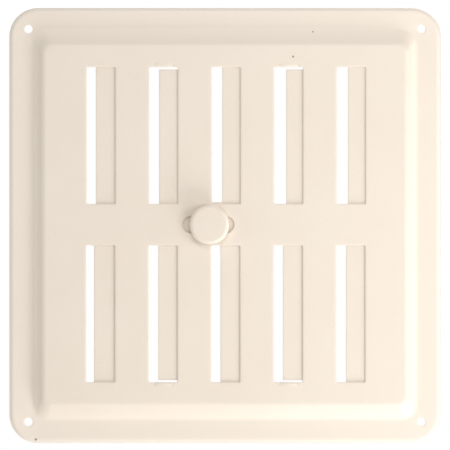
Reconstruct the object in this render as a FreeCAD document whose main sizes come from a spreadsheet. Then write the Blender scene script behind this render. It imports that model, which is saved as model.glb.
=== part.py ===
import FreeCAD, Part
import math
import os

import Sketcher

# Hit-and-miss wall ventilator: a pressed aluminium face plate with two rows of slots, and a slotted
# shutter plate behind it that a knob slides sideways to open or close the air way.
# Frame: X to the right, Z up, the face looks towards -Y, and Y = 0 is the wall that the rim sits on.
# A sketch on the XZ plane has its normal along -Y, so a depth in the sheet is a distance in front of the wall.

DIMENSIONS = {
    # face plate
    "sheet_thickness": 0.8,
    "plate_width": 240.5,
    "plate_height": 242.5,
    "plate_corner_radius": 16.0,
    "flange_depth": 2.8,
    "rim_radius": 2.4,
    "panel_depth": 7.8,
    "foot_width": 211.2,
    "foot_height": 217.0,
    "foot_corner_radius": 7.5,
    "crest_width": 202.8,
    "crest_height": 200.0,
    "crest_corner_radius": 5.5,
    "press_radius": 4.0,
    # everything punched in the panel sits a little above the plate's middle
    "field_rise": 0.45,
    # air slots
    "slot_width": 16.4,
    "slot_length": 76.0,
    "slot_pitch": 34.9,
    "slot_inner_end": 11.6,
    "slot_corner_radius": 0.5,
    # slot for the knob's boss
    "guide_length": 28.7,
    "guide_height": 9.25,
    "guide_centre": -9.25,
    # fixing holes
    "fixing_spacing": 219.0,
    "fixing_diameter": 4.6,
    # tabs that hold the shutter, lanced from the ends of four slots
    "tab_width": 10.0,
    "tab_bend_radius": 0.4,
    "tab_back_depth": 4.95,
    "tab_end": 94.5,
    "tab_relief": 0.8,
    # shutter plate
    "shutter_thickness": 0.7,
    "shutter_back_depth": 6.05,
    "shutter_left": 79.5,
    "shutter_right": 96.5,
    "shutter_half_height": 96.0,
    "shutter_corner_radius": 3.0,
    "shutter_slot_width": 12.8,
    "shutter_slot_pitch": 35.2,
    "shutter_slot_inner_end": 10.8,
    "shutter_slot_outer_end": 88.8,
    "window_left": 6.2,
    "window_right": 24.6,
    "window_inner_end": 86.4,
    # knob, screw and washers, which ride on the shutter
    "knob_rest": -8.7,
    "knob_diameter": 22.2,
    "knob_face_depth": 14.6,
    "knob_skirt_depth": 8.3,
    "knob_edge_radius": 1.9,
    "knob_draft": 0.25,
    "recess_diameter": 19.4,
    "recess_depth": 9.7,
    "boss_diameter": 9.0,
    "pilot_diameter": 3.9,
    "pilot_depth": 12.9,
    "glide_diameter": 18.6,
    "glide_bore": 9.4,
    "glide_thickness": 0.8,
    "glide_gap": 0.15,
    "spring_diameter": 15.0,
    "spring_bore": 9.3,
    "spring_thickness": 0.5,
    "screw_hole": 4.2,
    "washer_diameter": 10.0,
    "washer_bore": 4.2,
    "washer_thickness": 0.8,
    "screw_diameter": 3.8,
    "screw_end_depth": 12.5,
    "head_diameter": 7.2,
    "head_height": 2.4,
    "head_edge_radius": 1.2,
    "recess_arm_width": 0.9,
    "recess_arm_length": 3.8,
    "recess_cut": 1.3,
}

SLOT_COLUMNS = 5
MOST_OVERLAP = 0.01  # mm3 that two pieces may share
SAME_PLACE = 1e-3  # mm within which two coordinates count as equal

doc = FreeCAD.newDocument("AirGrille")

sheet = doc.addObject("Spreadsheet::Sheet", "dims")
for row, (alias, value) in enumerate(DIMENSIONS.items(), start=1):
    sheet.set(f"A{row}", alias)
    sheet.set(f"B{row}", str(value))
    sheet.setAlias(f"B{row}", alias)
doc.recompute()
reader = doc.addObject("App::FeaturePython", "reader")


def value_of(expression):
    """The number that an expression on the sheet comes to now, as a start for the geometry it drives."""
    return float(reader.evalExpression(expression))


def new_body(label):
    body = doc.addObject("PartDesign::Body", label)
    body.Label = label
    return body


def new_sketch(body, name, plane, offset=None):
    """A sketch on one of the body's origin planes, moved along the plane's normal by an expression."""
    sketch = body.newObject("Sketcher::SketchObject", name)
    support = next(feature for feature in body.Origin.OriginFeatures if feature.Role == plane)
    sketch.AttachmentSupport = [(support, "")]
    sketch.MapMode = "FlatFace"
    if offset:
        sketch.setExpression(".AttachmentOffset.Base.z", offset)
    return sketch


def measure(sketch, name, expression, *constraint):
    """A named dimension of the sketch that follows an expression."""
    index = sketch.addConstraint(Sketcher.Constraint(*constraint, value_of(expression)))
    sketch.renameConstraint(index, name)
    sketch.setExpression(f"Constraints.{name}", expression)


def outline(sketch, name, points):
    """A closed outline of straight sides through points given as pairs of expressions."""
    places = [FreeCAD.Vector(value_of(across), value_of(up), 0) for across, up in points]
    sides = [Part.LineSegment(start, end) for start, end in zip(places, places[1:] + places[:1])]
    first = sketch.GeometryCount
    sketch.addGeometry(sides, False)
    count = len(sides)
    for number, (across, up) in enumerate(points):
        side = first + number
        before = first + (number - 1) % count
        sketch.addConstraint(Sketcher.Constraint("Coincident", before, 2, side, 1))
        measure(sketch, f"{name}{number}_across", across, "DistanceX", -1, 1, side, 1)
        measure(sketch, f"{name}{number}_up", up, "DistanceY", -1, 1, side, 1)


def rounded_rectangle(sketch, name, left, low, wide, high, radius):
    """A rounded rectangle from its left and low sides, its width, height and corner radius, as expressions."""
    x0, y0, r = value_of(left), value_of(low), value_of(radius)
    x1, y1 = x0 + value_of(wide), y0 + value_of(high)
    centres = [(x1 - r, y1 - r), (x0 + r, y1 - r), (x0 + r, y0 + r), (x1 - r, y0 + r)]
    arcs = []
    for quarter, (x, y) in enumerate(centres):
        ring = Part.Circle(FreeCAD.Vector(x, y, 0), FreeCAD.Vector(0, 0, 1), r)
        start = math.radians(90 * quarter)
        arcs.append(Part.ArcOfCircle(ring, start, start + math.radians(90)))
    sides = [Part.LineSegment(arc.EndPoint, following.StartPoint)
             for arc, following in zip(arcs, arcs[1:] + arcs[:1])]
    first = sketch.GeometryCount
    sketch.addGeometry(arcs + sides, False)
    for quarter in range(4):
        arc = first + quarter
        side = arc + 4
        following = first + (quarter + 1) % 4
        sketch.addConstraint(Sketcher.Constraint("Tangent", arc, 2, side, 1))
        sketch.addConstraint(Sketcher.Constraint("Tangent", side, 2, following, 1))
        sketch.addConstraint(Sketcher.Constraint("Vertical" if quarter % 2 else "Horizontal", side))
        if quarter:
            sketch.addConstraint(Sketcher.Constraint("Equal", first, arc))
    top_side, left_side, low_side, right_side = range(first + 4, first + 8)
    measure(sketch, name + "_radius", radius, "Radius", first)
    measure(sketch, name + "_left", left, "DistanceX", -1, 1, left_side, 1)
    measure(sketch, name + "_low", low, "DistanceY", -1, 1, low_side, 1)
    measure(sketch, name + "_wide", wide, "DistanceX", left_side, 1, right_side, 1)
    measure(sketch, name + "_high", high, "DistanceY", low_side, 1, top_side, 1)


def centred_rectangle(sketch, wide, high, radius):
    rounded_rectangle(sketch, "outline", f"-{wide} / 2", f"-{high} / 2", wide, high, radius)


def circle(sketch, name, across, up, diameter):
    centre = FreeCAD.Vector(value_of(across), value_of(up), 0)
    ring = sketch.addGeometry(Part.Circle(centre, FreeCAD.Vector(0, 0, 1), value_of(diameter) / 2), False)
    measure(sketch, name + "_diameter", diameter, "Diameter", ring)
    if value_of(across):
        measure(sketch, name + "_across", across, "DistanceX", -1, 1, ring, 3)
    else:
        sketch.addConstraint(Sketcher.Constraint("PointOnObject", ring, 3, -2))
    if value_of(up):
        measure(sketch, name + "_up", up, "DistanceY", -1, 1, ring, 3)
    else:
        sketch.addConstraint(Sketcher.Constraint("PointOnObject", ring, 3, -1))


volumes = {}  # each body's volume after its last feature, mm3


def finish_feature(body, feature, grows=None):
    """Makes a new feature the body's tip, and stops if it failed or left the volume the wrong way."""
    body.Tip = feature
    doc.recompute()
    if "Invalid" in feature.State or "Error" in feature.State or feature.Shape.isNull():
        raise RuntimeError(f"{body.Label}: {feature.Name} failed")
    before = volumes.get(body.Label, 0.0)
    now = feature.Shape.Volume
    if grows is True and now <= before or grows is False and now >= before:
        raise RuntimeError(f"{body.Label}: {feature.Name} took the volume from {before:.1f} to {now:.1f} mm3")
    volumes[body.Label] = now
    return feature


def pad(body, sketch, length, name, symmetric=False):
    feature = body.newObject("PartDesign::Pad", name)
    feature.Profile = sketch
    feature.setExpression("Length", length)
    if symmetric:
        feature.SideType = "Symmetric"
    return finish_feature(body, feature, grows=True)


def pocket(body, sketch, name, length=None):
    """A cut along the sketch's normal: right through, or to a depth given as an expression."""
    feature = body.newObject("PartDesign::Pocket", name)
    feature.Profile = sketch
    feature.Reversed = True
    if length:
        feature.setExpression("Length", length)
    else:
        feature.Type = "ThroughAll"
    return finish_feature(body, feature, grows=False)


def revolution(body, sketch, name):
    """A full turn about the sketch's vertical axis."""
    feature = body.newObject("PartDesign::Revolution", name)
    feature.Profile = sketch
    feature.ReferenceAxis = (sketch, ["V_Axis"])
    feature.Angle = 360
    return finish_feature(body, feature, grows=True)


def pattern(body, original, sketch, axis, spacing, occurrences, name, grows):
    """Repeats a feature along an axis of its sketch."""
    feature = body.newObject("PartDesign::LinearPattern", name)
    feature.Originals = [original]
    feature.Direction = (sketch, [axis])
    feature.Mode = "Spacing"
    feature.setExpression("Offset", spacing)
    feature.Occurrences = occurrences
    return finish_feature(body, feature, grows)


def edges_where(shape, test):
    """Names of the edges on which five points, the ends among them, all pass the test."""
    names = []
    for number, edge in enumerate(shape.Edges, start=1):
        if all(test(point) for point in edge.discretize(5)):
            names.append(f"Edge{number}")
    return names


def near(a, b):
    return abs(a - b) < SAME_PLACE


def fillet(body, test, radius, name):
    """Rounds the edges that pass the test."""
    base = body.Tip
    names = edges_where(base.Shape, test)
    if not names:
        raise RuntimeError(f"{body.Label}: {name} found no edge")
    feature = body.newObject("PartDesign::Fillet", name)
    feature.Base = (base, names)
    feature.setExpression("Radius", radius)
    return finish_feature(body, feature)


# ---- face plate: one pressed sheet with a rolled rim, a raised panel, slots and four retaining tabs ----

face = new_body("face_plate")
flange_outline = new_sketch(face, "flange_outline", "XZ_Plane")
centred_rectangle(flange_outline, "dims.plate_width", "dims.plate_height", "dims.plate_corner_radius")
pad(face, flange_outline, "dims.flange_depth", "flange")

foot = new_sketch(face, "panel_foot", "XZ_Plane", "dims.flange_depth")
centred_rectangle(foot, "dims.foot_width", "dims.foot_height", "dims.foot_corner_radius")
crest = new_sketch(face, "panel_crest", "XZ_Plane", "dims.panel_depth")
centred_rectangle(crest, "dims.crest_width", "dims.crest_height", "dims.crest_corner_radius")
panel = face.newObject("PartDesign::AdditiveLoft", "raised_panel")
panel.Profile = foot
panel.Sections = [crest]
panel.Ruled = True
finish_feature(face, panel, grows=True)

flange_front = -value_of("dims.flange_depth")
panel_front = -value_of("dims.panel_depth")
mid_flange = value_of("(dims.foot_height + dims.plate_width) / 4")  # between the panel's foot and the rim


def outside_flange(point):
    return max(abs(point.x), abs(point.z)) > mid_flange


fillet(face, lambda point: near(point.y, flange_front) and outside_flange(point), "dims.rim_radius",
       "rolled_rim")
fillet(face, lambda point: near(point.y, panel_front), "dims.press_radius", "crest_bend")
fillet(face, lambda point: near(point.y, flange_front) and not outside_flange(point), "dims.press_radius",
       "foot_bend")

# The underside follows the front at the sheet's thickness: a shallow tray, then the hollow of the panel.
under_flange = "(dims.flange_depth - dims.sheet_thickness)"
under_panel = "(dims.panel_depth - dims.sheet_thickness)"
def slope_shift(foot, crest):
    """How far inside the front's bends the underside's bends lie, on the slopes between two sides."""
    slope = f"atan(2 * (dims.panel_depth - dims.flange_depth) / ({foot} - {crest}))"
    return f"(dims.sheet_thickness * tan({slope} / 2))"


side_shift = slope_shift("dims.foot_width", "dims.crest_width")
end_shift = slope_shift("dims.foot_height", "dims.crest_height")


def inner_rectangle(sketch, wide, high, radius, side_inset, end_inset):
    """The rounded rectangle of the underside, inside the one of the front."""
    inner_wide, inner_high = f"({wide} - 2 * {side_inset})", f"({high} - 2 * {end_inset})"
    centred_rectangle(sketch, inner_wide, inner_high, f"({radius} - {side_inset})")


tray = new_sketch(face, "flange_underside", "XZ_Plane")
inner_rectangle(tray, "dims.plate_width", "dims.plate_height", "dims.plate_corner_radius",
                "dims.sheet_thickness", "dims.sheet_thickness")
pocket(face, tray, "flange_underside_cut", under_flange)

foot_inside = new_sketch(face, "panel_foot_inside", "XZ_Plane", under_flange)
inner_rectangle(foot_inside, "dims.foot_width", "dims.foot_height", "dims.foot_corner_radius",
                side_shift, end_shift)
crest_inside = new_sketch(face, "panel_crest_inside", "XZ_Plane", under_panel)
inner_rectangle(crest_inside, "dims.crest_width", "dims.crest_height", "dims.crest_corner_radius",
                side_shift, end_shift)
hollow = face.newObject("PartDesign::SubtractiveLoft", "panel_hollow")
hollow.Profile = foot_inside
hollow.Sections = [crest_inside]
hollow.Ruled = True
finish_feature(face, hollow, grows=False)

flange_back = -value_of(under_flange)
panel_back = -value_of(under_panel)
fillet(face, lambda point: near(point.y, flange_back) and outside_flange(point),
       "dims.rim_radius - dims.sheet_thickness", "rim_inside")
fillet(face, lambda point: near(point.y, panel_back), "dims.press_radius - dims.sheet_thickness",
       "crest_inside_bend")
fillet(face, lambda point: near(point.y, flange_back) and not outside_flange(point),
       "dims.press_radius + dims.sheet_thickness", "foot_inside_bend")

air_slots = new_sketch(face, "air_slots", "XZ_Plane")
first_column = f"-{(SLOT_COLUMNS - 1) // 2} * dims.slot_pitch - dims.slot_width / 2"
for level, low in (("upper", "dims.slot_inner_end"), ("lower", "(-dims.slot_inner_end - dims.slot_length)")):
    rounded_rectangle(air_slots, level, first_column, f"dims.field_rise + {low}", "dims.slot_width",
                      "dims.slot_length", "dims.slot_corner_radius")
first_slots = pocket(face, air_slots, "first_air_slots")
pattern(face, first_slots, air_slots, "H_Axis", "dims.slot_pitch", SLOT_COLUMNS, "air_slot_columns",
        grows=False)

# The knob's slot has half-round ends, but for a flat of two microns that keeps the sketch's end sides alive.
guide = new_sketch(face, "knob_guide", "XZ_Plane")
rounded_rectangle(guide, "guide", "dims.guide_centre - dims.guide_length / 2",
                  "dims.field_rise - dims.guide_height / 2", "dims.guide_length", "dims.guide_height",
                  "dims.guide_height / 2 - 0.001")
pocket(face, guide, "knob_guide_cut")

fixings = new_sketch(face, "fixing_holes", "XZ_Plane")
for number, (side, level) in enumerate([("", ""), ("-", ""), ("-", "-"), ("", "-")]):
    circle(fixings, f"hole{number}", f"{side}dims.fixing_spacing / 2", f"{level}dims.fixing_spacing / 2",
           "dims.fixing_diameter")
pocket(face, fixings, "fixing_hole_cut")

# The tabs: each is folded back from a slot's outer end, and out behind the shutter.
slot_end = "(dims.slot_inner_end + dims.slot_length)"
bend_line = f"({slot_end} + dims.tab_bend_radius + dims.sheet_thickness)"
tab_inside = f"({slot_end} + dims.sheet_thickness)"
tab_front = "(dims.tab_back_depth + dims.sheet_thickness)"

relief = new_sketch(face, "tab_relief", "XZ_Plane")
for level, sign in (("upper", ""), ("lower", "-")):
    for side, left in (("left", "-dims.tab_width / 2 - dims.tab_relief"), ("right", "dims.tab_width / 2")):
        near_x = f"{left} - dims.slot_pitch"
        far_x = f"{near_x} + dims.tab_relief"
        inside = f"dims.field_rise + {sign}({slot_end} - dims.slot_corner_radius)"
        outside = f"dims.field_rise + {sign}{bend_line}"
        outline(relief, f"{level}_{side}", [
            (near_x, inside), (far_x, inside), (far_x, outside), (near_x, outside),
        ])
relief_cut = pocket(face, relief, "tab_relief_cut")
pattern(face, relief_cut, relief, "H_Axis", "2 * dims.slot_pitch", 2, "tab_reliefs", grows=False)

tab_profile = new_sketch(face, "tab_profile", "YZ_Plane", "-dims.slot_pitch")
for level, sign in (("upper", ""), ("lower", "-")):
    heights = {name: f"dims.field_rise + {sign}{height}" for name, height in {
        "leg_outside": slot_end, "leg_inside": tab_inside, "bend": bend_line, "end": "dims.tab_end"}.items()}
    outline(tab_profile, level, [
        ("-dims.panel_depth", heights["leg_outside"]),
        ("-dims.tab_back_depth", heights["leg_outside"]),
        ("-dims.tab_back_depth", heights["end"]),
        (f"-{tab_front}", heights["end"]),
        (f"-{tab_front}", heights["leg_inside"]),
        (f"-{under_panel}", heights["leg_inside"]),
        (f"-{under_panel}", heights["bend"]),
        ("-dims.panel_depth", heights["bend"]),
    ])
near_tabs = pad(face, tab_profile, "dims.tab_width", "tabs_left", symmetric=True)
pattern(face, near_tabs, tab_profile, "N_Axis", "2 * dims.slot_pitch", 2, "tabs", grows=True)



def along_tab(point, depths, height):
    """Whether a point is within a tab's width, at one of the depths, and that far from the field's middle."""
    beside = abs(abs(point.x) - value_of("dims.slot_pitch"))
    within = beside < value_of("dims.tab_width / 2") + SAME_PLACE
    level = near(abs(point.z - value_of("dims.field_rise")), value_of(height))
    return within and level and any(near(-point.y, value_of(depth)) for depth in depths)


fillet(face, lambda point: along_tab(point, ("dims.panel_depth", "dims.tab_back_depth"), slot_end),
       "dims.tab_bend_radius + dims.sheet_thickness", "tab_outer_bends")
fillet(face, lambda point: along_tab(point, (under_panel, tab_front), tab_inside),
       "dims.tab_bend_radius", "tab_inner_bends")

# ---- shutter plate: a flat slotted sheet, drawn with the knob's hole at its own origin ----

shutter = new_body("shutter_plate")
shutter_outline = new_sketch(shutter, "shutter_outline", "XZ_Plane", "dims.shutter_back_depth")
rounded_rectangle(shutter_outline, "outline", "-dims.shutter_left", "-dims.shutter_half_height",
                  "dims.shutter_left + dims.shutter_right", "2 * dims.shutter_half_height",
                  "dims.shutter_corner_radius")
pad(shutter, shutter_outline, "dims.shutter_thickness", "shutter_sheet")

shutter_slots = new_sketch(shutter, "shutter_slots", "XZ_Plane")
shutter_first = f"-{(SLOT_COLUMNS - 1) // 2} * dims.shutter_slot_pitch - dims.shutter_slot_width / 2"
shutter_slot_length = "(dims.shutter_slot_outer_end - dims.shutter_slot_inner_end)"
for level, low in (("upper", "dims.shutter_slot_inner_end"), ("lower", "-dims.shutter_slot_outer_end")):
    rounded_rectangle(shutter_slots, level, shutter_first, low, "dims.shutter_slot_width",
                      shutter_slot_length, "dims.slot_corner_radius")
first_openings = pocket(shutter, shutter_slots, "first_shutter_slots")
pattern(shutter, first_openings, shutter_slots, "H_Axis", "dims.shutter_slot_pitch", SLOT_COLUMNS,
        "shutter_slot_columns", grows=False)

# Windows that the four tabs pass through, wide enough for the whole travel.
windows = new_sketch(shutter, "tab_windows", "XZ_Plane")
window_high = "(dims.shutter_slot_outer_end - dims.window_inner_end)"
for column, middle in (("near", "-dims.slot_pitch"), ("far", "dims.slot_pitch")):
    for level, low in (("upper", "dims.window_inner_end"), ("lower", "-dims.shutter_slot_outer_end")):
        rounded_rectangle(windows, f"{column}_{level}", f"{middle} - dims.window_left", low,
                          "dims.window_left + dims.window_right", window_high, "dims.slot_corner_radius")
pocket(shutter, windows, "tab_window_cut")

screw_hole = new_sketch(shutter, "screw_hole", "XZ_Plane")
circle(screw_hole, "hole", "0", "0", "dims.screw_hole")
pocket(shutter, screw_hole, "screw_hole_cut")

# ---- turned pieces, each a half section in its own XY plane, spun about the Y axis ----


def turned(label, points):
    body = new_body(label)
    section = new_sketch(body, label + "_section", "XY_Plane")
    outline(section, "point", points)
    revolution(body, section, label + "_turned")
    return body


def ring(label, bore, diameter, front, thickness):
    """A flat washer from its bore, outer diameter, the depth of its front face and its thickness."""
    return turned(label, [
        (f"{bore} / 2", f"-{front}"),
        (f"{diameter} / 2", f"-{front}"),
        (f"{diameter} / 2", f"-({front} - {thickness})"),
        (f"{bore} / 2", f"-({front} - {thickness})"),
    ])


shutter_front = "(dims.shutter_back_depth + dims.shutter_thickness)"
knob = turned("knob", [
    ("dims.pilot_diameter / 2", f"-{shutter_front}"),
    ("dims.boss_diameter / 2", f"-{shutter_front}"),
    ("dims.boss_diameter / 2", "-dims.recess_depth"),
    ("dims.recess_diameter / 2", "-dims.recess_depth"),
    ("dims.recess_diameter / 2", "-dims.knob_skirt_depth"),
    ("dims.knob_diameter / 2", "-dims.knob_skirt_depth"),
    ("dims.knob_diameter / 2 - dims.knob_draft", "-dims.knob_face_depth"),
    ("0", "-dims.knob_face_depth"),
    ("0", "-dims.pilot_depth"),
    ("dims.pilot_diameter / 2", "-dims.pilot_depth"),
])
knob_face = -value_of("dims.knob_face_depth")
fillet(knob, lambda point: near(point.y, knob_face), "dims.knob_edge_radius", "knob_edge")

glide_front = "(dims.panel_depth + dims.glide_gap + dims.glide_thickness)"
glide = ring("glide_washer", "dims.glide_bore", "dims.glide_diameter", glide_front, "dims.glide_thickness")

# The dished spring washer's rim rests on the glide washer and its bore bears on the knob's recess.
spring = turned("spring_washer", [
    ("dims.spring_bore / 2", "-dims.recess_depth"),
    ("dims.spring_diameter / 2", f"-({glide_front} + dims.spring_thickness)"),
    ("dims.spring_diameter / 2", f"-{glide_front}"),
    ("dims.spring_bore / 2", "-(dims.recess_depth - dims.spring_thickness)"),
])

washer_back = "(dims.shutter_back_depth - dims.washer_thickness)"
washer = ring("plain_washer", "dims.washer_bore", "dims.washer_diameter", "dims.shutter_back_depth",
              "dims.washer_thickness")

screw = turned("knob_screw", [
    ("0", f"-({washer_back} - dims.head_height)"),
    ("dims.head_diameter / 2", f"-({washer_back} - dims.head_height)"),
    ("dims.head_diameter / 2", f"-{washer_back}"),
    ("dims.screw_diameter / 2", f"-{washer_back}"),
    ("dims.screw_diameter / 2", "-dims.screw_end_depth"),
    ("0", "-dims.screw_end_depth"),
])
head_back = -value_of(f"{washer_back} - dims.head_height")
fillet(screw, lambda point: near(point.y, head_back), "dims.head_edge_radius", "head_edge")
cross = new_sketch(screw, "cross_recess", "XZ_Plane", f"{washer_back} - dims.head_height")
arm_width, arm_length = "dims.recess_arm_width / 2", "dims.recess_arm_length / 2"
outline(cross, "cross", [
    (arm_width, arm_width), (arm_width, arm_length), (f"-{arm_width}", arm_length),
    (f"-{arm_width}", arm_width), (f"-{arm_length}", arm_width), (f"-{arm_length}", f"-{arm_width}"),
    (f"-{arm_width}", f"-{arm_width}"), (f"-{arm_width}", f"-{arm_length}"), (arm_width, f"-{arm_length}"),
    (arm_width, f"-{arm_width}"), (arm_length, f"-{arm_width}"), (arm_length, arm_width),
])
pocket(screw, cross, "cross_recess_cut", "dims.recess_cut")

# The pieces that ride on the shutter are all drawn about its hole, and stand at the knob's rest place.
riders = [shutter, knob, glide, spring, washer, screw]
for rider in riders:
    rider.setExpression(".Placement.Base.x", "dims.knob_rest")
    rider.setExpression(".Placement.Base.z", "dims.field_rise")
doc.recompute()

# ---- check and write ----

pieces = [face] + riders
for item in doc.Objects:
    if "Invalid" in item.State or "Error" in item.State:
        raise RuntimeError(f"{item.Name} is {item.State}")
for piece in pieces:
    shape = piece.Shape
    if shape.isNull() or not shape.isValid() or len(shape.Solids) != 1:
        raise RuntimeError(f"{piece.Label} isn't one valid solid")
for number, piece in enumerate(pieces):
    for other in pieces[number + 1:]:
        shared = piece.Shape.common(other.Shape).Volume
        if shared > MOST_OVERLAP:
            raise RuntimeError(f"{piece.Label} and {other.Label} share {shared:.3f} mm3")

os.makedirs("parts", exist_ok=True)
for piece in pieces:
    box = piece.Shape.BoundBox
    print(f"{piece.Label}: {box.XLength:.2f} x {box.YLength:.2f} x {box.ZLength:.2f} mm, "
          f"{piece.Shape.Volume:.1f} mm3")
    piece.Shape.exportStep(f"parts/{piece.Label}.step")
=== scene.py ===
import math

import bmesh
import bpy
from mathutils import Matrix, Vector


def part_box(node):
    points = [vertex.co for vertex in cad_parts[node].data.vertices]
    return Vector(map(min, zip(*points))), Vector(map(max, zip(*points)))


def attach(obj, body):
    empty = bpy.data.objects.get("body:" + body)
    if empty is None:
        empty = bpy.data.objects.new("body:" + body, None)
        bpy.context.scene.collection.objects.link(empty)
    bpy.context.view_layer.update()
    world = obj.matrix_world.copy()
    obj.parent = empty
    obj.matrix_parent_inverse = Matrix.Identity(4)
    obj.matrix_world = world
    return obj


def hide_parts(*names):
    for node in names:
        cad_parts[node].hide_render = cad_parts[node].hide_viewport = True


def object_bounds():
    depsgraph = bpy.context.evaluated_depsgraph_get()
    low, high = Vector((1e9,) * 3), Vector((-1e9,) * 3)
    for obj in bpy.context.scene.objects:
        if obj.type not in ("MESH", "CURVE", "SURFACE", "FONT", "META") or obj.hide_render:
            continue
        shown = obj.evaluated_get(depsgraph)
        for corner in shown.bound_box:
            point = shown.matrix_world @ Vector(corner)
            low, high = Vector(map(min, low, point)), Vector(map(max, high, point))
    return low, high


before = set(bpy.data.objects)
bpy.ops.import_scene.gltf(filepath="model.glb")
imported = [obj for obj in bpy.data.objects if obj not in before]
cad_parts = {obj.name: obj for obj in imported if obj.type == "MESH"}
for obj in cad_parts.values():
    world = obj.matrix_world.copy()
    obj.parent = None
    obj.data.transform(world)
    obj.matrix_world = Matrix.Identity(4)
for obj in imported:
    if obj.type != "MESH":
        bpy.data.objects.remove(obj)        # the grille at rest, in metres: X to the right, Z up, the face towards -Y
cadBox = [list(corner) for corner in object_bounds()]
print("frame loaded:", ", ".join(sorted(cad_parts)))

mm = 0.001  # pieces are worked out in millimetres and scaled to metres as they are finished
front = Vector((0, -1, 0))  # the way the face looks


def boxInMm(node):
    low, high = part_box(node)
    return low / mm, high / mm


def linearColour(code):
    shares = [int(code[start:start + 2], 16) / 255 for start in (1, 3, 5)]
    return [s / 12.92 if s <= 0.04045 else ((s + 0.055) / 1.055) ** 2.4 for s in shares] + [1.0]


def perMetre(size):
    return 1 / (size * mm)  # a texture's scale for a pattern whose grains are this many millimetres across


def addNode(tree, kind, settings=None, inputs=None):
    node = tree.nodes.new(kind)
    for name, value in (settings or {}).items():
        setattr(node, name, value)
    for name, value in (inputs or {}).items():
        if isinstance(value, bpy.types.NodeSocket):
            tree.links.new(value, node.inputs[name])
        else:
            node.inputs[name].default_value = value
    return node


def startMaterial(name):
    material = bpy.data.materials.new(name)
    material.use_nodes = True
    material.node_tree.nodes.clear()
    return material, material.node_tree, addNode(material.node_tree, "ShaderNodeTexCoord").outputs["Object"]


def noiseOf(tree, place, size, detail=2.0, roughness=0.5):
    settings = {"Vector": place, "Scale": perMetre(size), "Detail": detail, "Roughness": roughness}
    return addNode(tree, "ShaderNodeTexNoise", inputs=settings).outputs["Fac"]


def ranged(tree, value, fromLow, fromHigh, toLow, toHigh):
    limits = {"From Min": fromLow, "From Max": fromHigh, "To Min": toLow, "To Max": toHigh}
    return addNode(tree, "ShaderNodeMapRange", inputs={"Value": value, **limits}).outputs["Result"]


def mixColours(tree, factor, first, second):
    inputs = {0: factor, 6: first, 7: second}
    return addNode(tree, "ShaderNodeMix", {"data_type": "RGBA"}, inputs).outputs[2]


def bumpOf(tree, height, depth, normal=None):
    inputs = {"Height": height, "Distance": depth * mm, "Strength": 1.0}
    if normal:
        inputs["Normal"] = normal
    return addNode(tree, "ShaderNodeBump", inputs=inputs).outputs["Normal"]


def finishMaterial(tree, inputs):
    shader = addNode(tree, "ShaderNodeBsdfPrincipled", inputs=inputs)
    addNode(tree, "ShaderNodeOutputMaterial", inputs={"Surface": shader.outputs["BSDF"]})


creamCoat = {
    "thick": "#efe4d6", "thin": "#ece0d2",  # the film's colour where it is thick and where it is thin
    "rim": "#f7ecdf", "flangeLightShare": 0.4,  # painted light: a paler colour on the flange that stands in for the brighter light it gets, and how much of it shows
    "flangeLightFrom": (103.0, 108.0),  # it starts and is full this far from the plate's middle
    "nib": "#5a4e42", "nibSize": 0.35,  # specks of dust baked into the film
    "filmPatch": 38.0, "mottle": 1.1, "peel": 1.9, "peelDepth": 0.012, "grain": 0.45, "grainDepth": 0.003,
    "roughness": (0.40, 0.48), "ior": 1.5,
}


# Polyester powder coat, baked on pressed aluminium: a satin cream film with the faint orange peel of the melt,
# a little colour change with its thickness, painted light on the flange, and a few dark specks of dust (across, up,
# size) in it.
def powderCoat(name, v, nibs=()):
    material, tree, place = startMaterial(name)
    patch = noiseOf(tree, place, v["filmPatch"], 3.0)
    mottle = noiseOf(tree, place, v["mottle"], 3.0)
    film = addNode(tree, "ShaderNodeMath", {"operation": "ADD"}, {0: patch, 1: mottle}).outputs[0]
    thickness = ranged(tree, film, 0.7, 1.3, 0, 1)
    colour = mixColours(tree, thickness, linearColour(v["thin"]), linearColour(v["thick"]))
    # painted light: the flange is tinted paler towards the outline, standing in for light the lamps don't give it
    if v["flangeLightShare"]:
        sides = addNode(tree, "ShaderNodeSeparateXYZ", inputs={0: place}).outputs
        across, up = [addNode(tree, "ShaderNodeMath", {"operation": "ABSOLUTE"}, {0: sides[n]}).outputs[0]
                      for n in (0, 2)]
        out = addNode(tree, "ShaderNodeMath", {"operation": "MAXIMUM"}, {0: across, 1: up}).outputs[0]
        near, far = v["flangeLightFrom"]
        paintedFlangeLight = ranged(tree, out, near * mm, far * mm, 0, v["flangeLightShare"])
        colour = mixColours(tree, paintedFlangeLight, colour, linearColour(v["rim"]))
    for x, z, share in nibs:
        onFace = addNode(tree, "ShaderNodeVectorMath", {"operation": "MULTIPLY"}, {0: place, 1: (1, 0, 1)})
        away = addNode(tree, "ShaderNodeVectorMath", {"operation": "DISTANCE"}, {
            0: onFace.outputs[0], 1: (x * mm, 0, z * mm)}).outputs["Value"]
        size = v["nibSize"] * share * mm
        colour = mixColours(tree, ranged(tree, away, size, size * 2, 0.8, 0), colour, linearColour(v["nib"]))
    peel = noiseOf(tree, place, v["peel"], 1.0)
    grain = noiseOf(tree, place, v["grain"], 2.0)
    normal = bumpOf(tree, grain, v["grainDepth"], bumpOf(tree, peel, v["peelDepth"]))
    low, high = v["roughness"]
    finishMaterial(tree, {"Base Color": colour, "Roughness": ranged(tree, peel, 0.3, 0.7, low, high),
                          "IOR": v["ior"], "Normal": normal})
    return material


nylonStock = {"light": "#e6e1d4", "dark": "#dcd6c6", "cloud": 4.0, "grain": 0.6, "grainDepth": 0.004,
              "roughness": (0.42, 0.55), "ior": 1.53, "subsurface": 0.12, "radius": 0.8}


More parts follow.
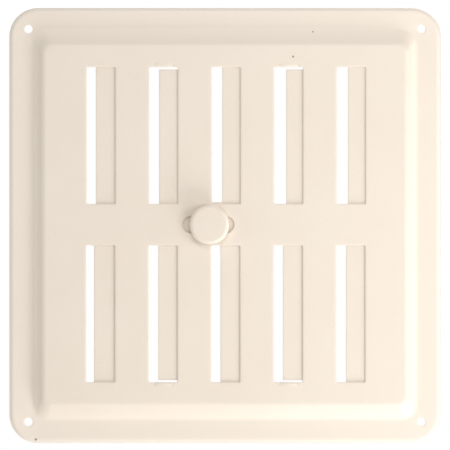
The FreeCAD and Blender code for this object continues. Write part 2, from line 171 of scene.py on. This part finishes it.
# Natural nylon 6, injection moulded: milky, a little cloudy, with the fine satin of the mould's face.
def mouldedNylon(v):
    material, tree, place = startMaterial("mouldedNylon")
    cloud = noiseOf(tree, place, v["cloud"], 2.0)
    grain = noiseOf(tree, place, v["grain"], 3.0)
    low, high = v["roughness"]
    finishMaterial(tree, {
        "Base Color": mixColours(tree, cloud, linearColour(v["dark"]), linearColour(v["light"])),
        "Roughness": ranged(tree, grain, 0.3, 0.7, low, high), "IOR": v["ior"],
        "Subsurface Weight": v["subsurface"], "Subsurface Scale": v["radius"] * mm,
        "Normal": bumpOf(tree, grain, v["grainDepth"])})
    return material


zincPlate = {"light": "#c9cbcc", "dark": "#a9adb2", "warm": "#c8c0a4", "patch": 2.4, "grain": 0.35,
             "grainDepth": 0.004, "roughness": (0.24, 0.42)}
springStrip = {"light": "#8d8a86", "dark": "#5f6066", "warm": "#8c7758", "patch": 3.5, "grain": 0.3,
               "grainDepth": 0.003, "roughness": (0.22, 0.36)}


# Steel with a thin finish: zinc plate, cool grey with a straw tint, or spring strip, tempered darker.
# The patches are the plating's cloudiness, and the grain is the tumbled surface under it.
def finishedSteel(name, v):
    material, tree, place = startMaterial(name)
    patch = noiseOf(tree, place, v["patch"], 3.0)
    grain = noiseOf(tree, place, v["grain"], 4.0)
    colour = mixColours(tree, patch, linearColour(v["dark"]), linearColour(v["light"]))
    tint = ranged(tree, noiseOf(tree, place, v["patch"] * 2, 1.0), 0.5, 0.75, 0, 0.6)
    low, high = v["roughness"]
    finishMaterial(tree, {
        "Base Color": mixColours(tree, tint, colour, linearColour(v["warm"])), "Metallic": 1.0,
        "Roughness": ranged(tree, grain, 0.3, 0.7, low, high),
        "Normal": bumpOf(tree, grain, v["grainDepth"])})
    return material


faceCoat = powderCoat("faceCoat", creamCoat, ((37.9, 94.0, 1.0), (49.0, 108.0, 0.8), (-105.4, -119.2, 1.2)))
shutterCoat = powderCoat("shutterCoat", {**creamCoat, "flangeLightShare": 0, "peel": 1.6, "peelDepth": 0.010})
knobCoat = powderCoat("knobCoat", {**creamCoat, "flangeLightShare": 0, "peel": 1.5, "peelDepth": 0.008,
                                   "roughness": (0.34, 0.42)})
nylon = mouldedNylon(nylonStock)
zincSteel = finishedSteel("zincPlatedSteel", zincPlate)
springSteel = finishedSteel("springSteel", springStrip)
print("materials made")


def faceMatrix(depth, centre, wide=1.0, high=1.0):
    turn = Matrix.Rotation(math.radians(90), 4, "X")
    return Matrix.Translation((centre[0], -depth, centre[1])) @ turn @ Matrix.Diagonal((wide, high, 1, 1))


def roundCorners(bm, corners, radius, steps):
    made = bmesh.ops.bevel(bm, geom=corners, offset=radius, offset_type="OFFSET", affect="VERTICES",
                           segments=steps, profile=0.5, material=-1)
    return made["verts"][0].link_faces[0]


def roundedFace(bm, wide, high, radius, depth, centre, steps):
    made = bmesh.ops.create_grid(bm, x_segments=1, y_segments=1, size=0.5,
                                 matrix=faceMatrix(depth, centre, wide, high))
    return roundCorners(bm, made["verts"], radius, steps)


def roundFace(bm, radius, depth, centre, steps):
    made = bmesh.ops.create_circle(bm, cap_ends=True, radius=radius, segments=steps,
                                   matrix=faceMatrix(depth, centre))
    return made["verts"][0].link_faces[0]


def openFace(bm, face):
    edges = face.edges[:]
    bmesh.ops.delete(bm, geom=[face], context="FACES_ONLY")
    return edges


# Two rings in one plane would be bridged crosswise, so one is moved off by a hair while that is done.
def bridgeRings(bm, rings):
    hair = Vector((0, 0.013, 0))
    for ring, following in zip(rings, rings[1:]):
        verts = list({vert for edge in following for vert in edge.verts})
        bmesh.ops.translate(bm, vec=hair, verts=verts)
        bmesh.ops.bridge_loops(bm, edges=ring + following)
        bmesh.ops.translate(bm, vec=-hair, verts=verts)


def fillFlat(bm, edges):
    bmesh.ops.triangle_fill(bm, use_beauty=True, edges=edges, normal=front)


def insetFace(bm, face, step):
    made = bmesh.ops.inset_region(bm, faces=[face], thickness=step, use_boundary=True, use_even_offset=True)
    return made["faces"]


softEdge = 0.12  # the paint's own radius over a cut edge
weld = 0.0005  # corners closer than this are one
sharpAngle = 40  # degrees, past which an edge is shaded as a crease


def quarterSteps(radius, steps):
    angles = [math.radians(90) * step / steps for step in range(steps + 1)]
    return [(radius * (math.sin(b) - math.sin(a)), radius * (math.cos(a) - math.cos(b)))
            for a, b in zip(angles, angles[1:])]


# A hole punched in sheet metal. On the front there is a flat collar, a dip where the punch drew the metal
# down, and the rolled edge. Then come the cut wall and the softened edge at the back.
def punchHole(bm, outline, depths, v):
    around, brinks = [], []
    for depth, way, roll, dip in ((depths[0], 1, v["roll"], v["dip"]), (depths[1], -1, softEdge, 0.0)):
        face = outline(depth, v["flat"] + v["draw"] + roll)
        collar = insetFace(bm, face, v["flat"])
        around.append([e for f in collar for e in f.edges if e.is_boundary])
        for step, sink in [(v["draw"], dip)] + quarterSteps(roll, v["rollSteps"]):
            insetFace(bm, face, step)
            bmesh.ops.translate(bm, vec=(0, way * sink, 0), verts=face.verts)
        brinks.append(openFace(bm, face))
    bridgeRings(bm, brinks)
    return around


# The sheet's outer cut edge: rings for the softened corner on one side, from the face to the cut.
def edgeRings(ringAt, depth, way, steps=2):
    angles = [math.radians(90) * step / steps for step in range(steps + 1)]
    return [ringAt(softEdge * (1 - math.sin(a)), depth - way * softEdge * (1 - math.cos(a))) for a in angles]


def makePiece(name, bm, material, body, node):
    bmesh.ops.remove_doubles(bm, verts=bm.verts, dist=weld)
    bmesh.ops.recalc_face_normals(bm, faces=bm.faces)
    bmesh.ops.scale(bm, vec=(mm, mm, mm), verts=bm.verts)
    for face in bm.faces:
        face.smooth = True
    mesh = bpy.data.meshes.new(name)
    bm.to_mesh(mesh)
    bm.free()
    mesh.set_sharp_from_angle(angle=math.radians(sharpAngle))
    mesh.materials.append(material)
    piece = bpy.data.objects.new(name, mesh)
    bpy.context.scene.collection.objects.link(piece)
    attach(piece, body)
    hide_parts(node)
    print(f"{name}: {len(mesh.polygons)} faces")
    return piece


pressing = {
    "sheet": 0.8, "cornerRadius": 16.0, "rimRadius": 2.4, "flangeDepth": 2.8,
    "flangeWide": 14.65, "flangeHigh": 12.75,  # from the outline to the panel's foot, at the sides and ends
    "sideRun": 4.2, "endRun": 8.5,  # how far the slopes run in from the foot
    "lift": 0.6,  # the panel stands this much above the plate's middle
    "dish": 0.06,  # the flange falls this much per millimetre towards the panel's foot
    "footRadius": 7.5, "radiusLoss": 2.0,  # the panel's corner, and how much less it is at the crest
    "pressRadius": 4.0,  # the bends at the foot and the crest
    "support": 0.7, "cornerSteps": 16, "bendSteps": 8,
}
slots = {
    "wide": 15.9, "high": 76.0, "pitch": 34.8, "innerEnd": 11.6, "corner": 0.5, "columns": 5,
    "fieldRise": 0.45, "rowDrift": (0.65, 0.4),  # the upper and lower rows, to the right
    "flat": 0.3, "draw": 0.8, "dip": 0.08, "roll": 0.5, "rollSteps": 4, "cornerSteps": 3,
}
guideSlot = {"wide": 28.7, "high": 9.25, "centre": -9.25, "endSteps": 12,
             "straight": 0.05,  # left straight at each end, so that the insets stay clean
             "flat": 0.3, "draw": 0.4, "dip": 0.04, "roll": 0.25, "rollSteps": 3}
fixingHoles = {"spacing": 219.0, "diameter": 4.6, "steps": 32,
               "flat": 0.3, "draw": 0.5, "dip": 0.06, "roll": 0.3, "rollSteps": 3}
tabs = {"columns": (-1, 1), "wide": 10.0, "bendRadius": 0.4, "backDepth": 4.95, "end": 94.5,
        "relief": 0.2,  # the cuts beside the tab, nearly closed with paint
        "root": 1.9, "sunk": 0.01,  # the strip starts this far behind the fold, and this deep in the sheet
        "tip": 1.2, "tipShare": 0.84, "bendSteps": 6}


# How far in from the foot's line the slope has come at a height above the flange: round the bend at the foot,
# up the straight part and round the bend at the crest.
def slopeInset(run, rise, bends, height):
    lean = math.atan2(rise, run)
    foot, crest = bends
    if height < foot * (1 - math.cos(lean)):
        return foot * (math.sin(math.acos(1 - height / foot)) - math.tan(lean / 2))
    if rise - height < crest * (1 - math.cos(lean)):
        return run - crest * (math.sin(math.acos(1 - (rise - height) / crest)) - math.tan(lean / 2))
    return run * height / rise


# (side inset, end inset, depth) for each ring of one face of the slopes, this far under the front face
def slopeProfile(v, rise, under):
    runs = (v["sideRun"], v["endRun"])
    bends = (v["pressRadius"] + under, v["pressRadius"] - under)
    leans = [math.atan2(rise, runs[0]) * step / v["bendSteps"] for step in range(v["bendSteps"] + 1)]
    heights = [bends[0] * (1 - math.cos(a)) for a in leans]
    heights += [rise - bends[1] * (1 - math.cos(a)) for a in reversed(leans)]
    rings = []
    for height in heights:
        insets = [slopeInset(run, rise, bends, height) + under * math.tan(math.atan2(rise, run) / 2)
                  for run in runs]
        rings.append((*insets, v["flangeDepth"] - under + height))
    outer, inner = rings[0], rings[-1]
    first = (outer[0] - v["support"], outer[1] - v["support"], outer[2])
    last = (inner[0] + v["support"], inner[1] + v["support"], inner[2])
    return [first] + rings + [last]


def rimProfile(v):
    radius, centre = v["rimRadius"], v["flangeDepth"] - v["rimRadius"]
    leans = [math.radians(90) * (1 - step / v["bendSteps"]) for step in range(v["bendSteps"] + 1)]
    roll = [(radius * (1 - math.sin(a)), centre + radius * math.cos(a), a) for a in leans]
    start = (0.0, softEdge, math.radians(90))
    return [start] + roll + [(radius + v["support"], v["flangeDepth"], 0.0)]


def slotOutline(bm, wide, high, radius, centre, steps):
    return lambda depth, offset: roundedFace(bm, wide + 2 * offset, high + 2 * offset, radius + offset,
                                             depth, centre, steps)


# A slot with a tab: its outer end steps out between the two relief cuts, as far as the line of the fold.
def tabbedOutline(bm, v, t, centreX, side, fold):
    def outline(depth, offset):
        half, bump = v["wide"] / 2 + offset, t["wide"] / 2 + t["relief"] + offset
        inner, outer = v["innerEnd"] - offset, v["innerEnd"] + v["high"] + offset
        points = [(-half, inner), (half, inner), (half, outer), (bump, outer), (bump, fold + offset),
                  (t["wide"] / 2, fold + offset), (-t["wide"] / 2, fold + offset), (-bump, fold + offset),
                  (-bump, outer), (-half, outer)]
        corners = [bm.verts.new((centreX + x, -depth, v["fieldRise"] + side * z)) for x, z in points]
        bm.faces.new(corners)
        rounded = [corners[number] for number in (0, 1, 2, 9)]
        return roundCorners(bm, rounded, v["corner"] + offset, v["cornerSteps"])
    return outline


def onlyFaces(geometry):
    return [item for item in geometry if isinstance(item, bmesh.types.BMFace)]


def pushFace(bm, face, shift):
    made = bmesh.ops.extrude_face_region(bm, geom=[face])["geom"]
    bmesh.ops.translate(bm, vec=shift, verts=[item for item in made if isinstance(item, bmesh.types.BMVert)])
    return onlyFaces(made)[0]


# The tab is the sheet itself, folded back from the end of its slot and out again behind the shutter.
def foldTab(t, centreX, side, fold, depths):
    bm = bmesh.new()
    frontDepth, backDepth = depths[0] - t["sunk"], depths[1] + t["sunk"]
    thick = frontDepth - backDepth
    level = slots["fieldRise"] + side * fold
    made = bmesh.ops.create_grid(bm, x_segments=1, y_segments=1, size=0.5,
                                 matrix=Matrix.Translation((centreX, -(frontDepth + backDepth) / 2,
                                                            level + side * t["root"]))
                                 @ Matrix.Diagonal((t["wide"], thick, 1, 1)))
    start = made["verts"][0].link_faces[0]
    turn = {"axis": (1, 0, 0), "angle": side * math.radians(90), "steps": t["bendSteps"]}
    outer = t["bendRadius"] + thick
    first, second = outer - frontDepth, -t["backDepth"] - outer
    end = pushFace(bm, start, (0, 0, -side * t["root"]))
    end = onlyFaces(bmesh.ops.spin(bm, geom=[end], cent=(0, first, level), **turn)["geom_last"])[0]
    end = pushFace(bm, end, (0, second - first, 0))
    end = onlyFaces(bmesh.ops.spin(bm, geom=[end], cent=(0, second, level), **turn)["geom_last"])[0]
    end = pushFace(bm, end, (0, 0, side * (t["end"] - fold - t["tip"])))
    end = pushFace(bm, end, (0, 0, side * t["tip"]))
    centre = Matrix.Translation((-centreX, 0, 0))
    bmesh.ops.scale(bm, vec=(t["tipShare"], 1, 1), space=centre, verts=end.verts)
    bmesh.ops.remove_doubles(bm, verts=bm.verts, dist=weld)
    inner = [f for f in bm.faces if all(len(e.link_faces) > 2 for e in f.edges)]
    bmesh.ops.delete(bm, geom=inner, context="FACES_ONLY")
    bmesh.ops.recalc_face_normals(bm, faces=bm.faces)
    sharp = [e for e in bm.edges if e.calc_face_angle(0) > math.radians(60)]
    bmesh.ops.bevel(bm, geom=sharp, offset=softEdge, offset_type="OFFSET", affect="EDGES", segments=2,
                    profile=0.5, material=-1)
    mesh = bpy.data.meshes.new("tab")
    bm.to_mesh(mesh)
    bm.free()
    return mesh


# The press pulls the flange down a little towards the panel's foot. The slopes take that up again.
def dishFlange(bm, v, wide, tall, panelBack):
    for vert in bm.verts:
        past = [abs(vert.co.x) - wide / 2 + v["cornerRadius"], abs(vert.co.z) - tall / 2 + v["cornerRadius"]]
        reach = math.hypot(*past) if min(past) > 0 else max(past)
        inward = min(v["cornerRadius"] - reach, v["flangeHigh"]) - v["rimRadius"]
        share = min(1.0, (panelBack + vert.co.y) / (panelBack - v["flangeDepth"]))
        if inward > 0 and share > 0:
            vert.co.y += v["dish"] * inward * share


def buildFacePlate():
    v, s, t = pressing, slots, tabs
    low, high = boxInMm("face_plate")
    wide, tall, panelDepth = high.x - low.x, high.z - low.z, -low.y
    footWide, footTall = wide - 2 * v["flangeWide"], tall - 2 * v["flangeHigh"]
    rise = panelDepth - v["flangeDepth"]
    bm = bmesh.new()

    def rimRing(inset, depth):
        return openFace(bm, roundedFace(bm, wide - 2 * inset, tall - 2 * inset, v["cornerRadius"] - inset,
                                        depth, (0, 0), v["cornerSteps"]))

    def slopeRing(sideInset, endInset, depth):
        loss = v["radiusLoss"] / v["sideRun"] if sideInset > 0 else 1.0
        radius = v["footRadius"] - sideInset * loss
        return openFace(bm, roundedFace(bm, footWide - 2 * sideInset, footTall - 2 * endInset, radius,
                                        depth, (0, v["lift"]), v["cornerSteps"]))

    cuts, flangeEdges, panelEdges = [], [], []
    for under, way in ((0.0, 1), (v["sheet"], -1)):
        cut = [rimRing(under + way * softEdge * (1 - math.sin(a)), softEdge * (1 - math.cos(a)))
               for a in (0, math.radians(30), math.radians(60))]
        rims = cut + [rimRing(inset + under * math.sin(lean), depth - under * math.cos(lean))
                      for inset, depth, lean in rimProfile(v)]
        slopes = [slopeRing(*ring) for ring in slopeProfile(v, rise, under)]
        bridgeRings(bm, rims)
        bridgeRings(bm, slopes)
        cuts.append(rims[0])
        flangeEdges.append(rims[-1] + slopes[0])
        panelEdges.append(slopes[-1])
    bridgeRings(bm, cuts)  # the sheet's cut edge, at the wall

    half = fixingHoles["spacing"] / 2
    for x, z in ((half, half), (-half, half), (-half, -half), (half, -half)):
        outline = lambda depth, offset: roundFace(bm, fixingHoles["diameter"] / 2 + offset, depth, (x, z),
                                                  fixingHoles["steps"])
        around = punchHole(bm, outline, (v["flangeDepth"], v["flangeDepth"] - v["sheet"]), fixingHoles)
        flangeEdges = [edges + more for edges, more in zip(flangeEdges, around)]

    panelDepths = (panelDepth, panelDepth - v["sheet"])
    fold = s["innerEnd"] + s["high"] + t["bendRadius"] + v["sheet"]
    strips = []
    for side, drift in zip((1, -1), s["rowDrift"]):
        for column in range(s["columns"]):
            place = column - s["columns"] // 2
            x = place * s["pitch"] + drift
            middle = s["fieldRise"] + side * (s["innerEnd"] + s["high"] / 2)
            if place in t["columns"]:
                outline = tabbedOutline(bm, s, t, x, side, fold)
                strips.append(foldTab(t, x, side, fold, panelDepths))
            else:
                outline = slotOutline(bm, s["wide"], s["high"], s["corner"], (x, middle), s["cornerSteps"])
            around = punchHole(bm, outline, panelDepths, s)
            panelEdges = [edges + more for edges, more in zip(panelEdges, around)]
    g = guideSlot
    outline = slotOutline(bm, g["wide"], g["high"], g["high"] / 2 - g["straight"],
                          (g["centre"], s["fieldRise"]), g["endSteps"])
    around = punchHole(bm, outline, panelDepths, g)
    panelEdges = [edges + more for edges, more in zip(panelEdges, around)]
    for edges in flangeEdges + panelEdges:
        fillFlat(bm, edges)
    dishFlange(bm, v, wide, tall, panelDepths[1])
    for strip in strips:
        bm.from_mesh(strip)
        bpy.data.meshes.remove(strip)
    return makePiece("facePlate", bm, faceCoat, "grille", "face_plate")


buildFacePlate()


shutter = {
    "corner": 3.0, "outerSteps": 6, "slotWide": 12.8, "pitch": 35.2, "innerEnd": 10.8, "outerEnd": 88.8,
    "columns": 5, "slotCorner": 0.5, "windowRight": 24.8, "windowPitch": 34.9, "windowEnd": 86.4,
    "windowColumns": (-1, 1), "screwHole": 4.2, "screwSteps": 32,
    "flat": 0.3, "draw": 0.6, "dip": 0.07, "roll": 0.4, "rollSteps": 4, "cornerSteps": 3,
    "longer": 0.9,  # to the right, so that it still covers the last slots when it is pushed fully left
    "late": {(1, 2): 1.8},  # the opening over the knob starts this much further out than the others
    # how far each opening stands to the right of its place, from the left, in the upper and the lower row
    "drift": ((0.8, 0.8, 0.75, 1.15, 0.35), (-0.2, 0.33, -0.25, -0.65, -0.75)),
}


# A shutter opening that runs on into the window for a tab: an L, lying along the opening's outer end.
def windowOutline(bm, v, slotX, windowX, side, centre):
    def outline(depth, offset):
        half = v["slotWide"] / 2 + offset
        points = [(slotX - half, v["innerEnd"] - offset), (slotX + half, v["innerEnd"] - offset),
                  (slotX + half, v["windowEnd"] - offset), (windowX + offset, v["windowEnd"] - offset),
                  (windowX + offset, v["outerEnd"] + offset), (slotX - half, v["outerEnd"] + offset)]
        corners = [bm.verts.new((centre[0] + x, -depth, centre[1] + side * z)) for x, z in points]
        bm.faces.new(corners)
        rounded = [corners[number] for number in (0, 1, 3, 4, 5)]
        return roundCorners(bm, rounded, v["slotCorner"] + offset, v["cornerSteps"])
    return outline


def buildShutter():
    v = shutter
    low, high = boxInMm("shutter_plate")
    knobLow, knobHigh = boxInMm("knob")
    centre = ((knobLow.x + knobHigh.x) / 2, (knobLow.z + knobHigh.z) / 2)
    middle = ((low.x + high.x + v["longer"]) / 2, (low.z + high.z) / 2)
    wide, tall = high.x - low.x + v["longer"], high.z - low.z
    depths = (-low.y, -high.y)
    bm = bmesh.new()

    def ringAt(inset, depth):
        return openFace(bm, roundedFace(bm, wide - 2 * inset, tall - 2 * inset, v["corner"] - inset,
                                        depth, middle, v["outerSteps"]))

    cuts, fills = [], []
    for depth, way in zip(depths, (1, -1)):
        rings = [ringAt(v["flat"] + softEdge, depth)] + edgeRings(ringAt, depth, way)
        bridgeRings(bm, rings)
        fills.append(rings[0])
        cuts.append(rings[-1])
    bridgeRings(bm, cuts)
    for side, drifts in zip((1, -1), v["drift"]):
        for column, drift in enumerate(drifts):
            place = column - v["columns"] // 2
            x = place * v["pitch"] + drift
            if place in v["windowColumns"]:
                windowX = place * v["windowPitch"] + v["windowRight"]
                outline = windowOutline(bm, v, x, windowX, side, centre)
            else:
                inner = v["innerEnd"] + v["late"].get((side, column), 0)
                z = side * (inner + v["outerEnd"]) / 2
                outline = slotOutline(bm, v["slotWide"], v["outerEnd"] - inner, v["slotCorner"],
                                      (centre[0] + x, centre[1] + z), v["cornerSteps"])
            fills = [edges + more for edges, more in zip(fills, punchHole(bm, outline, depths, v))]
    outline = lambda depth, offset: roundFace(bm, v["screwHole"] / 2 + offset, depth, centre,
                                              v["screwSteps"])
    fills = [edges + more for edges, more in zip(fills, punchHole(bm, outline, depths, v))]
    for edges in fills:
        fillFlat(bm, edges)
    return makePiece("shutterPlate", bm, shutterCoat, "shutter", "shutter_plate")


buildShutter()


# The knob, washers and screw are all turned about the line of the screw.
knobLow, knobHigh = boxInMm("knob")
spindle = Vector(((knobLow.x + knobHigh.x) / 2, 0, (knobLow.z + knobHigh.z) / 2))
washerSteps = 64


# A half section of (radius, depth, rounding) points, spun about the screw's line.
def turnSection(bm, points, steps, closed=True):
    verts = [bm.verts.new((radius, -depth, 0)) for radius, depth, rounding in points]
    pairs = list(zip(verts, verts[1:]))
    if closed:
        pairs.append((verts[-1], verts[0]))
    for pair in pairs:
        bm.edges.new(pair)
    for vert, (radius, depth, rounding) in zip(verts, points):
        if rounding:
            bmesh.ops.bevel(bm, geom=[vert], offset=rounding, offset_type="OFFSET", affect="VERTICES",
                            segments=max(2, round(rounding * 6)), profile=0.5, material=-1)
    bmesh.ops.spin(bm, geom=bm.verts[:] + bm.edges[:], cent=(0, 0, 0), axis=(0, 1, 0),
                   angle=math.radians(360), steps=steps, use_merge=True)
    bmesh.ops.remove_doubles(bm, verts=bm.verts, dist=weld)
    bmesh.ops.translate(bm, vec=spindle, verts=bm.verts)


knobShape = {"edge": 2.3, "draft": 0.25, "crown": 0.06, "recess": 19.4, "recessDepth": 9.7, "recessEdge": 0.4,
             "boss": 9.0, "pilot": 3.9, "pilotDepth": 12.9, "bossEdge": 0.2, "steps": 128, "skirtEdge": 0.25,
             "skirtDrop": 0.45}  # behind the glide washer's front, which is just proud of the face plate


def buildKnob():
    v = knobShape
    radius = (knobHigh.x - knobLow.x) / 2
    face, back = -knobLow.y, -knobHigh.y
    skirt = -boxInMm("glide_washer")[0].y - v["skirtDrop"]
    bm = bmesh.new()
    turnSection(bm, [
        (0, face, 0), (radius * 0.55, face - v["crown"] * 0.3, 0), (radius * 0.8, face - v["crown"], 0),
        (radius - v["draft"], face - v["crown"], v["edge"]), (radius, skirt, v["skirtEdge"]),
        (v["recess"] / 2, skirt, v["skirtEdge"]), (v["recess"] / 2, v["recessDepth"], v["recessEdge"]),
        (v["boss"] / 2, v["recessDepth"], v["recessEdge"]), (v["boss"] / 2, back, v["bossEdge"]),
        (v["pilot"] / 2, back, v["bossEdge"]), (v["pilot"] / 2, v["pilotDepth"], v["bossEdge"]),
        (0, v["pilotDepth"], 0),
    ], v["steps"], closed=False)
    return makePiece("slideKnob", bm, knobCoat, "shutter", "knob")


buildKnob()


def buildRing(name, node, bore, edge, material):
    low, high = boxInMm(node)
    bm = bmesh.new()
    outer = (high.x - low.x) / 2
    turnSection(bm, [(bore / 2, -low.y, edge), (outer, -low.y, edge), (outer, -high.y, edge),
                     (bore / 2, -high.y, edge)], washerSteps)
    return makePiece(name, bm, material, "shutter", node)


buildRing("glideWasher", "glide_washer", 9.4, 0.15, nylon)
buildRing("plainWasher", "plain_washer", 4.2, 0.1, zincSteel)

springShape = {"bore": 9.3, "thickness": 0.5, "edge": 0.08}


def buildSpring():
    v = springShape
    low, high = boxInMm("spring_washer")
    outer = (high.x - low.x) / 2
    bm = bmesh.new()
    turnSection(bm, [
        (v["bore"] / 2, -low.y, v["edge"]), (outer, -high.y + v["thickness"], v["edge"]),
        (outer, -high.y, v["edge"]), (v["bore"] / 2, -low.y - v["thickness"], v["edge"]),
    ], washerSteps)
    return makePiece("springWasher", bm, springSteel, "shutter", "spring_washer")


buildSpring()

screwShape = {"head": 7.2, "headHeight": 2.4, "headEdge": 1.2, "core": 2.9, "thread": 3.8, "pitch": 1.4,
              "crossWide": 0.9, "crossLong": 3.8, "crossDepth": 1.3, "crossTaper": 0.7, "point": 1.2}


def buildScrew():
    v = screwShape
    low, high = boxInMm("knob_screw")
    top, seat, end = -high.y, -high.y + v["headHeight"], -low.y
    bm = bmesh.new()
    flat = v["head"] / 2 - v["headEdge"]
    turnSection(bm, [
        (flat, top, 0), (v["head"] / 2, top, v["headEdge"]), (v["head"] / 2, seat, 0.15),
        (v["thread"] / 2, seat, 0.1), (v["core"] / 2, seat + 0.6, 0.1),
        (v["core"] / 2, end - v["point"], 0.2), (0, end, 0),
    ], washerSteps, closed=False)
    rim = [e for e in bm.edges if e.is_boundary]
    arm, half = v["crossLong"] / 2, v["crossWide"] / 2
    quarter = [(half, half), (half, arm), (-half, arm)]
    corners = []
    for turn in range(4):
        spun = Matrix.Rotation(math.radians(90 * turn), 2)
        corners += [spun @ Vector(point) for point in quarter]
    cross = bm.faces.new([bm.verts.new((spindle.x + c.x, -top, spindle.z + c.y)) for c in corners])
    brink = cross.edges[:]
    made = bmesh.ops.extrude_face_region(bm, geom=[cross])["geom"]
    if cross.is_valid:
        bmesh.ops.delete(bm, geom=[cross], context="FACES_ONLY")
    floor = [item for item in made if isinstance(item, bmesh.types.BMVert)]
    bmesh.ops.translate(bm, vec=(0, -v["crossDepth"], 0), verts=floor)
    centre = Matrix.Translation((-spindle.x, 0, -spindle.z))
    bmesh.ops.scale(bm, vec=(v["crossTaper"], 1, v["crossTaper"]), space=centre, verts=floor)
    bmesh.ops.triangle_fill(bm, use_beauty=True, edges=rim + brink, normal=-front)
    # the thread is a wedge swept along a helix, its root sunk in the core
    root, crest, turns = v["core"] / 2 - 0.1, v["thread"] / 2, (end - v["point"] - seat - 1.2) / v["pitch"]
    steps = round(turns * 24)
    wedge = bm.faces.new([bm.verts.new(spindle + Vector((radius, -(seat + 0.9 + rise), 0)))
                          for radius, rise in ((root, -0.4), (crest, -0.06), (crest, 0.06), (root, 0.4))])
    bmesh.ops.spin(bm, geom=[wedge], cent=spindle, axis=(0, 1, 0), dvec=(0, -turns * v["pitch"] / steps, 0),
                   angle=math.radians(360 * turns), steps=steps, use_merge=False)
    return makePiece("knobScrew", bm, zincSteel, "shutter", "knob_screw")


buildScrew()


studio = {
    "floorDrop": 0.17, "floorRadius": 0.8, "floorFade": (0.45, 0.78), "floorColour": "#eceae6",
    "ambient": 0.335, "lens": 400.0, "fieldWide": 0.2510, "aim": (0.0, 0.0003),
}


def buildFloor(v):
    low, high = [Vector(corner) for corner in cadBox]
    bm = bmesh.new()
    bmesh.ops.create_circle(bm, cap_ends=True, radius=v["floorRadius"], segments=96)
    bmesh.ops.translate(bm, vec=(0, 0, low.z - v["floorDrop"]), verts=bm.verts)
    mesh = bpy.data.meshes.new("studioFloor")
    bm.to_mesh(mesh)
    bm.free()
    floor = bpy.data.objects.new("studioFloor", mesh)
    bpy.context.scene.collection.objects.link(floor)
    # painted board, matt, fading out at its rim and open from below
    material, tree, place = startMaterial("floorBoard")
    flat = addNode(tree, "ShaderNodeVectorMath", {"operation": "MULTIPLY"}, {0: place, 1: (1, 1, 0)})
    reach = addNode(tree, "ShaderNodeVectorMath", {"operation": "LENGTH"}, {0: flat.outputs[0]})
    fade = ranged(tree, reach.outputs["Value"], *v["floorFade"], 0, 1)
    behind = addNode(tree, "ShaderNodeNewGeometry").outputs["Backfacing"]
    hidden = addNode(tree, "ShaderNodeMath", {"operation": "MAXIMUM"}, {0: fade, 1: behind}).outputs[0]
    board = addNode(tree, "ShaderNodeBsdfDiffuse", inputs={"Color": linearColour(v["floorColour"])})
    clear = addNode(tree, "ShaderNodeBsdfTransparent")
    mixed = addNode(tree, "ShaderNodeMixShader", inputs={0: hidden, 1: board.outputs[0], 2: clear.outputs[0]})
    addNode(tree, "ShaderNodeOutputMaterial", inputs={"Surface": mixed.outputs[0]})
    mesh.materials.append(material)
    floor.visible_shadow = False  # the low lamps shine up past the floor


# A white world to look at, and a dimmer one to light by, so that the plate's form shows.
def buildWorld(v):
    world = bpy.data.worlds.new("studioWorld")
    world.use_nodes = True
    tree = world.node_tree
    tree.nodes.clear()
    seen = addNode(tree, "ShaderNodeLightPath").outputs["Is Camera Ray"]
    dim = addNode(tree, "ShaderNodeBackground", inputs={"Color": (1, 1, 1, 1), "Strength": v["ambient"]})
    white = addNode(tree, "ShaderNodeBackground", inputs={"Color": (1, 1, 1, 1), "Strength": 1.0})
    mixed = addNode(tree, "ShaderNodeMixShader", inputs={0: seen, 1: dim.outputs[0], 2: white.outputs[0]})
    addNode(tree, "ShaderNodeOutputWorld", inputs={"Surface": mixed.outputs[0]})
    bpy.context.scene.world = world


lamps = {
    # name: (azimuth round the face from +X, elevation above the face, distance, width of the square,
    #        watts, colour). A negative elevation is behind the plate.
    "rightLow": (0, 10, 0.60, 0.23, 0.57, "#fffaf4"),
    "rightHigh": (0, 45, 0.55, 0.21, 0.80, "#fffdfb"),
    "lowCorner": (-45, 20, 0.90, 0.25, 1.8, "#fdfdff"),
    "lowStrip": (-68, 12, 0.90, 0.20, 1.35, "#f9fbff"),
    "lowMiddle": (-68, 24, 0.90, 0.20, 1.0, "#f9fbff"),
    "topLow": (90, 12, 0.90, 0.35, 1.1, "#fffdf6"),
    "topHigh": (90, 60, 0.90, 0.35, 1.8, "#ffffff"),
    "leftBox": (180, 20, 0.90, 0.35, 1.25, "#fdfff8"),
    "backBox": (60, -40, 0.90, 0.50, 2.5, "#ffffff"),
    "backLow": (-150, -25, 0.90, 0.40, 1.5, "#ffffff"),
}


def buildLamps():
    for name, (azimuth, elevation, distance, wide, watts, colour) in lamps.items():
        light = bpy.data.lights.new(name, "AREA")
        light.size, light.energy, light.color = wide, watts, linearColour(colour)[:3]
        lamp = bpy.data.objects.new(name, light)
        bpy.context.scene.collection.objects.link(lamp)
        a, e = math.radians(azimuth), math.radians(elevation)
        way = Vector((math.cos(a) * math.cos(e), -math.sin(e), math.sin(a) * math.cos(e)))
        lamp.location = distance * way
        lamp.rotation_mode = "QUATERNION"
        lamp.rotation_quaternion = way.to_track_quat("Z", "Y")
        lamp.visible_camera = False


def buildCamera(v):
    data = bpy.data.cameras.new("camera")
    data.lens, data.sensor_width = v["lens"], 36.0
    distance = v["fieldWide"] * data.lens / data.sensor_width
    camera = bpy.data.objects.new("camera", data)
    camera.location = (v["aim"][0], -distance, v["aim"][1])
    camera.rotation_euler = (math.radians(90), 0, 0)
    bpy.context.scene.collection.objects.link(camera)
    bpy.context.scene.camera = camera


buildFloor(studio)
buildWorld(studio)
buildLamps()
buildCamera(studio)
bpy.context.scene.view_settings.view_transform = "Standard"
print("stage made")
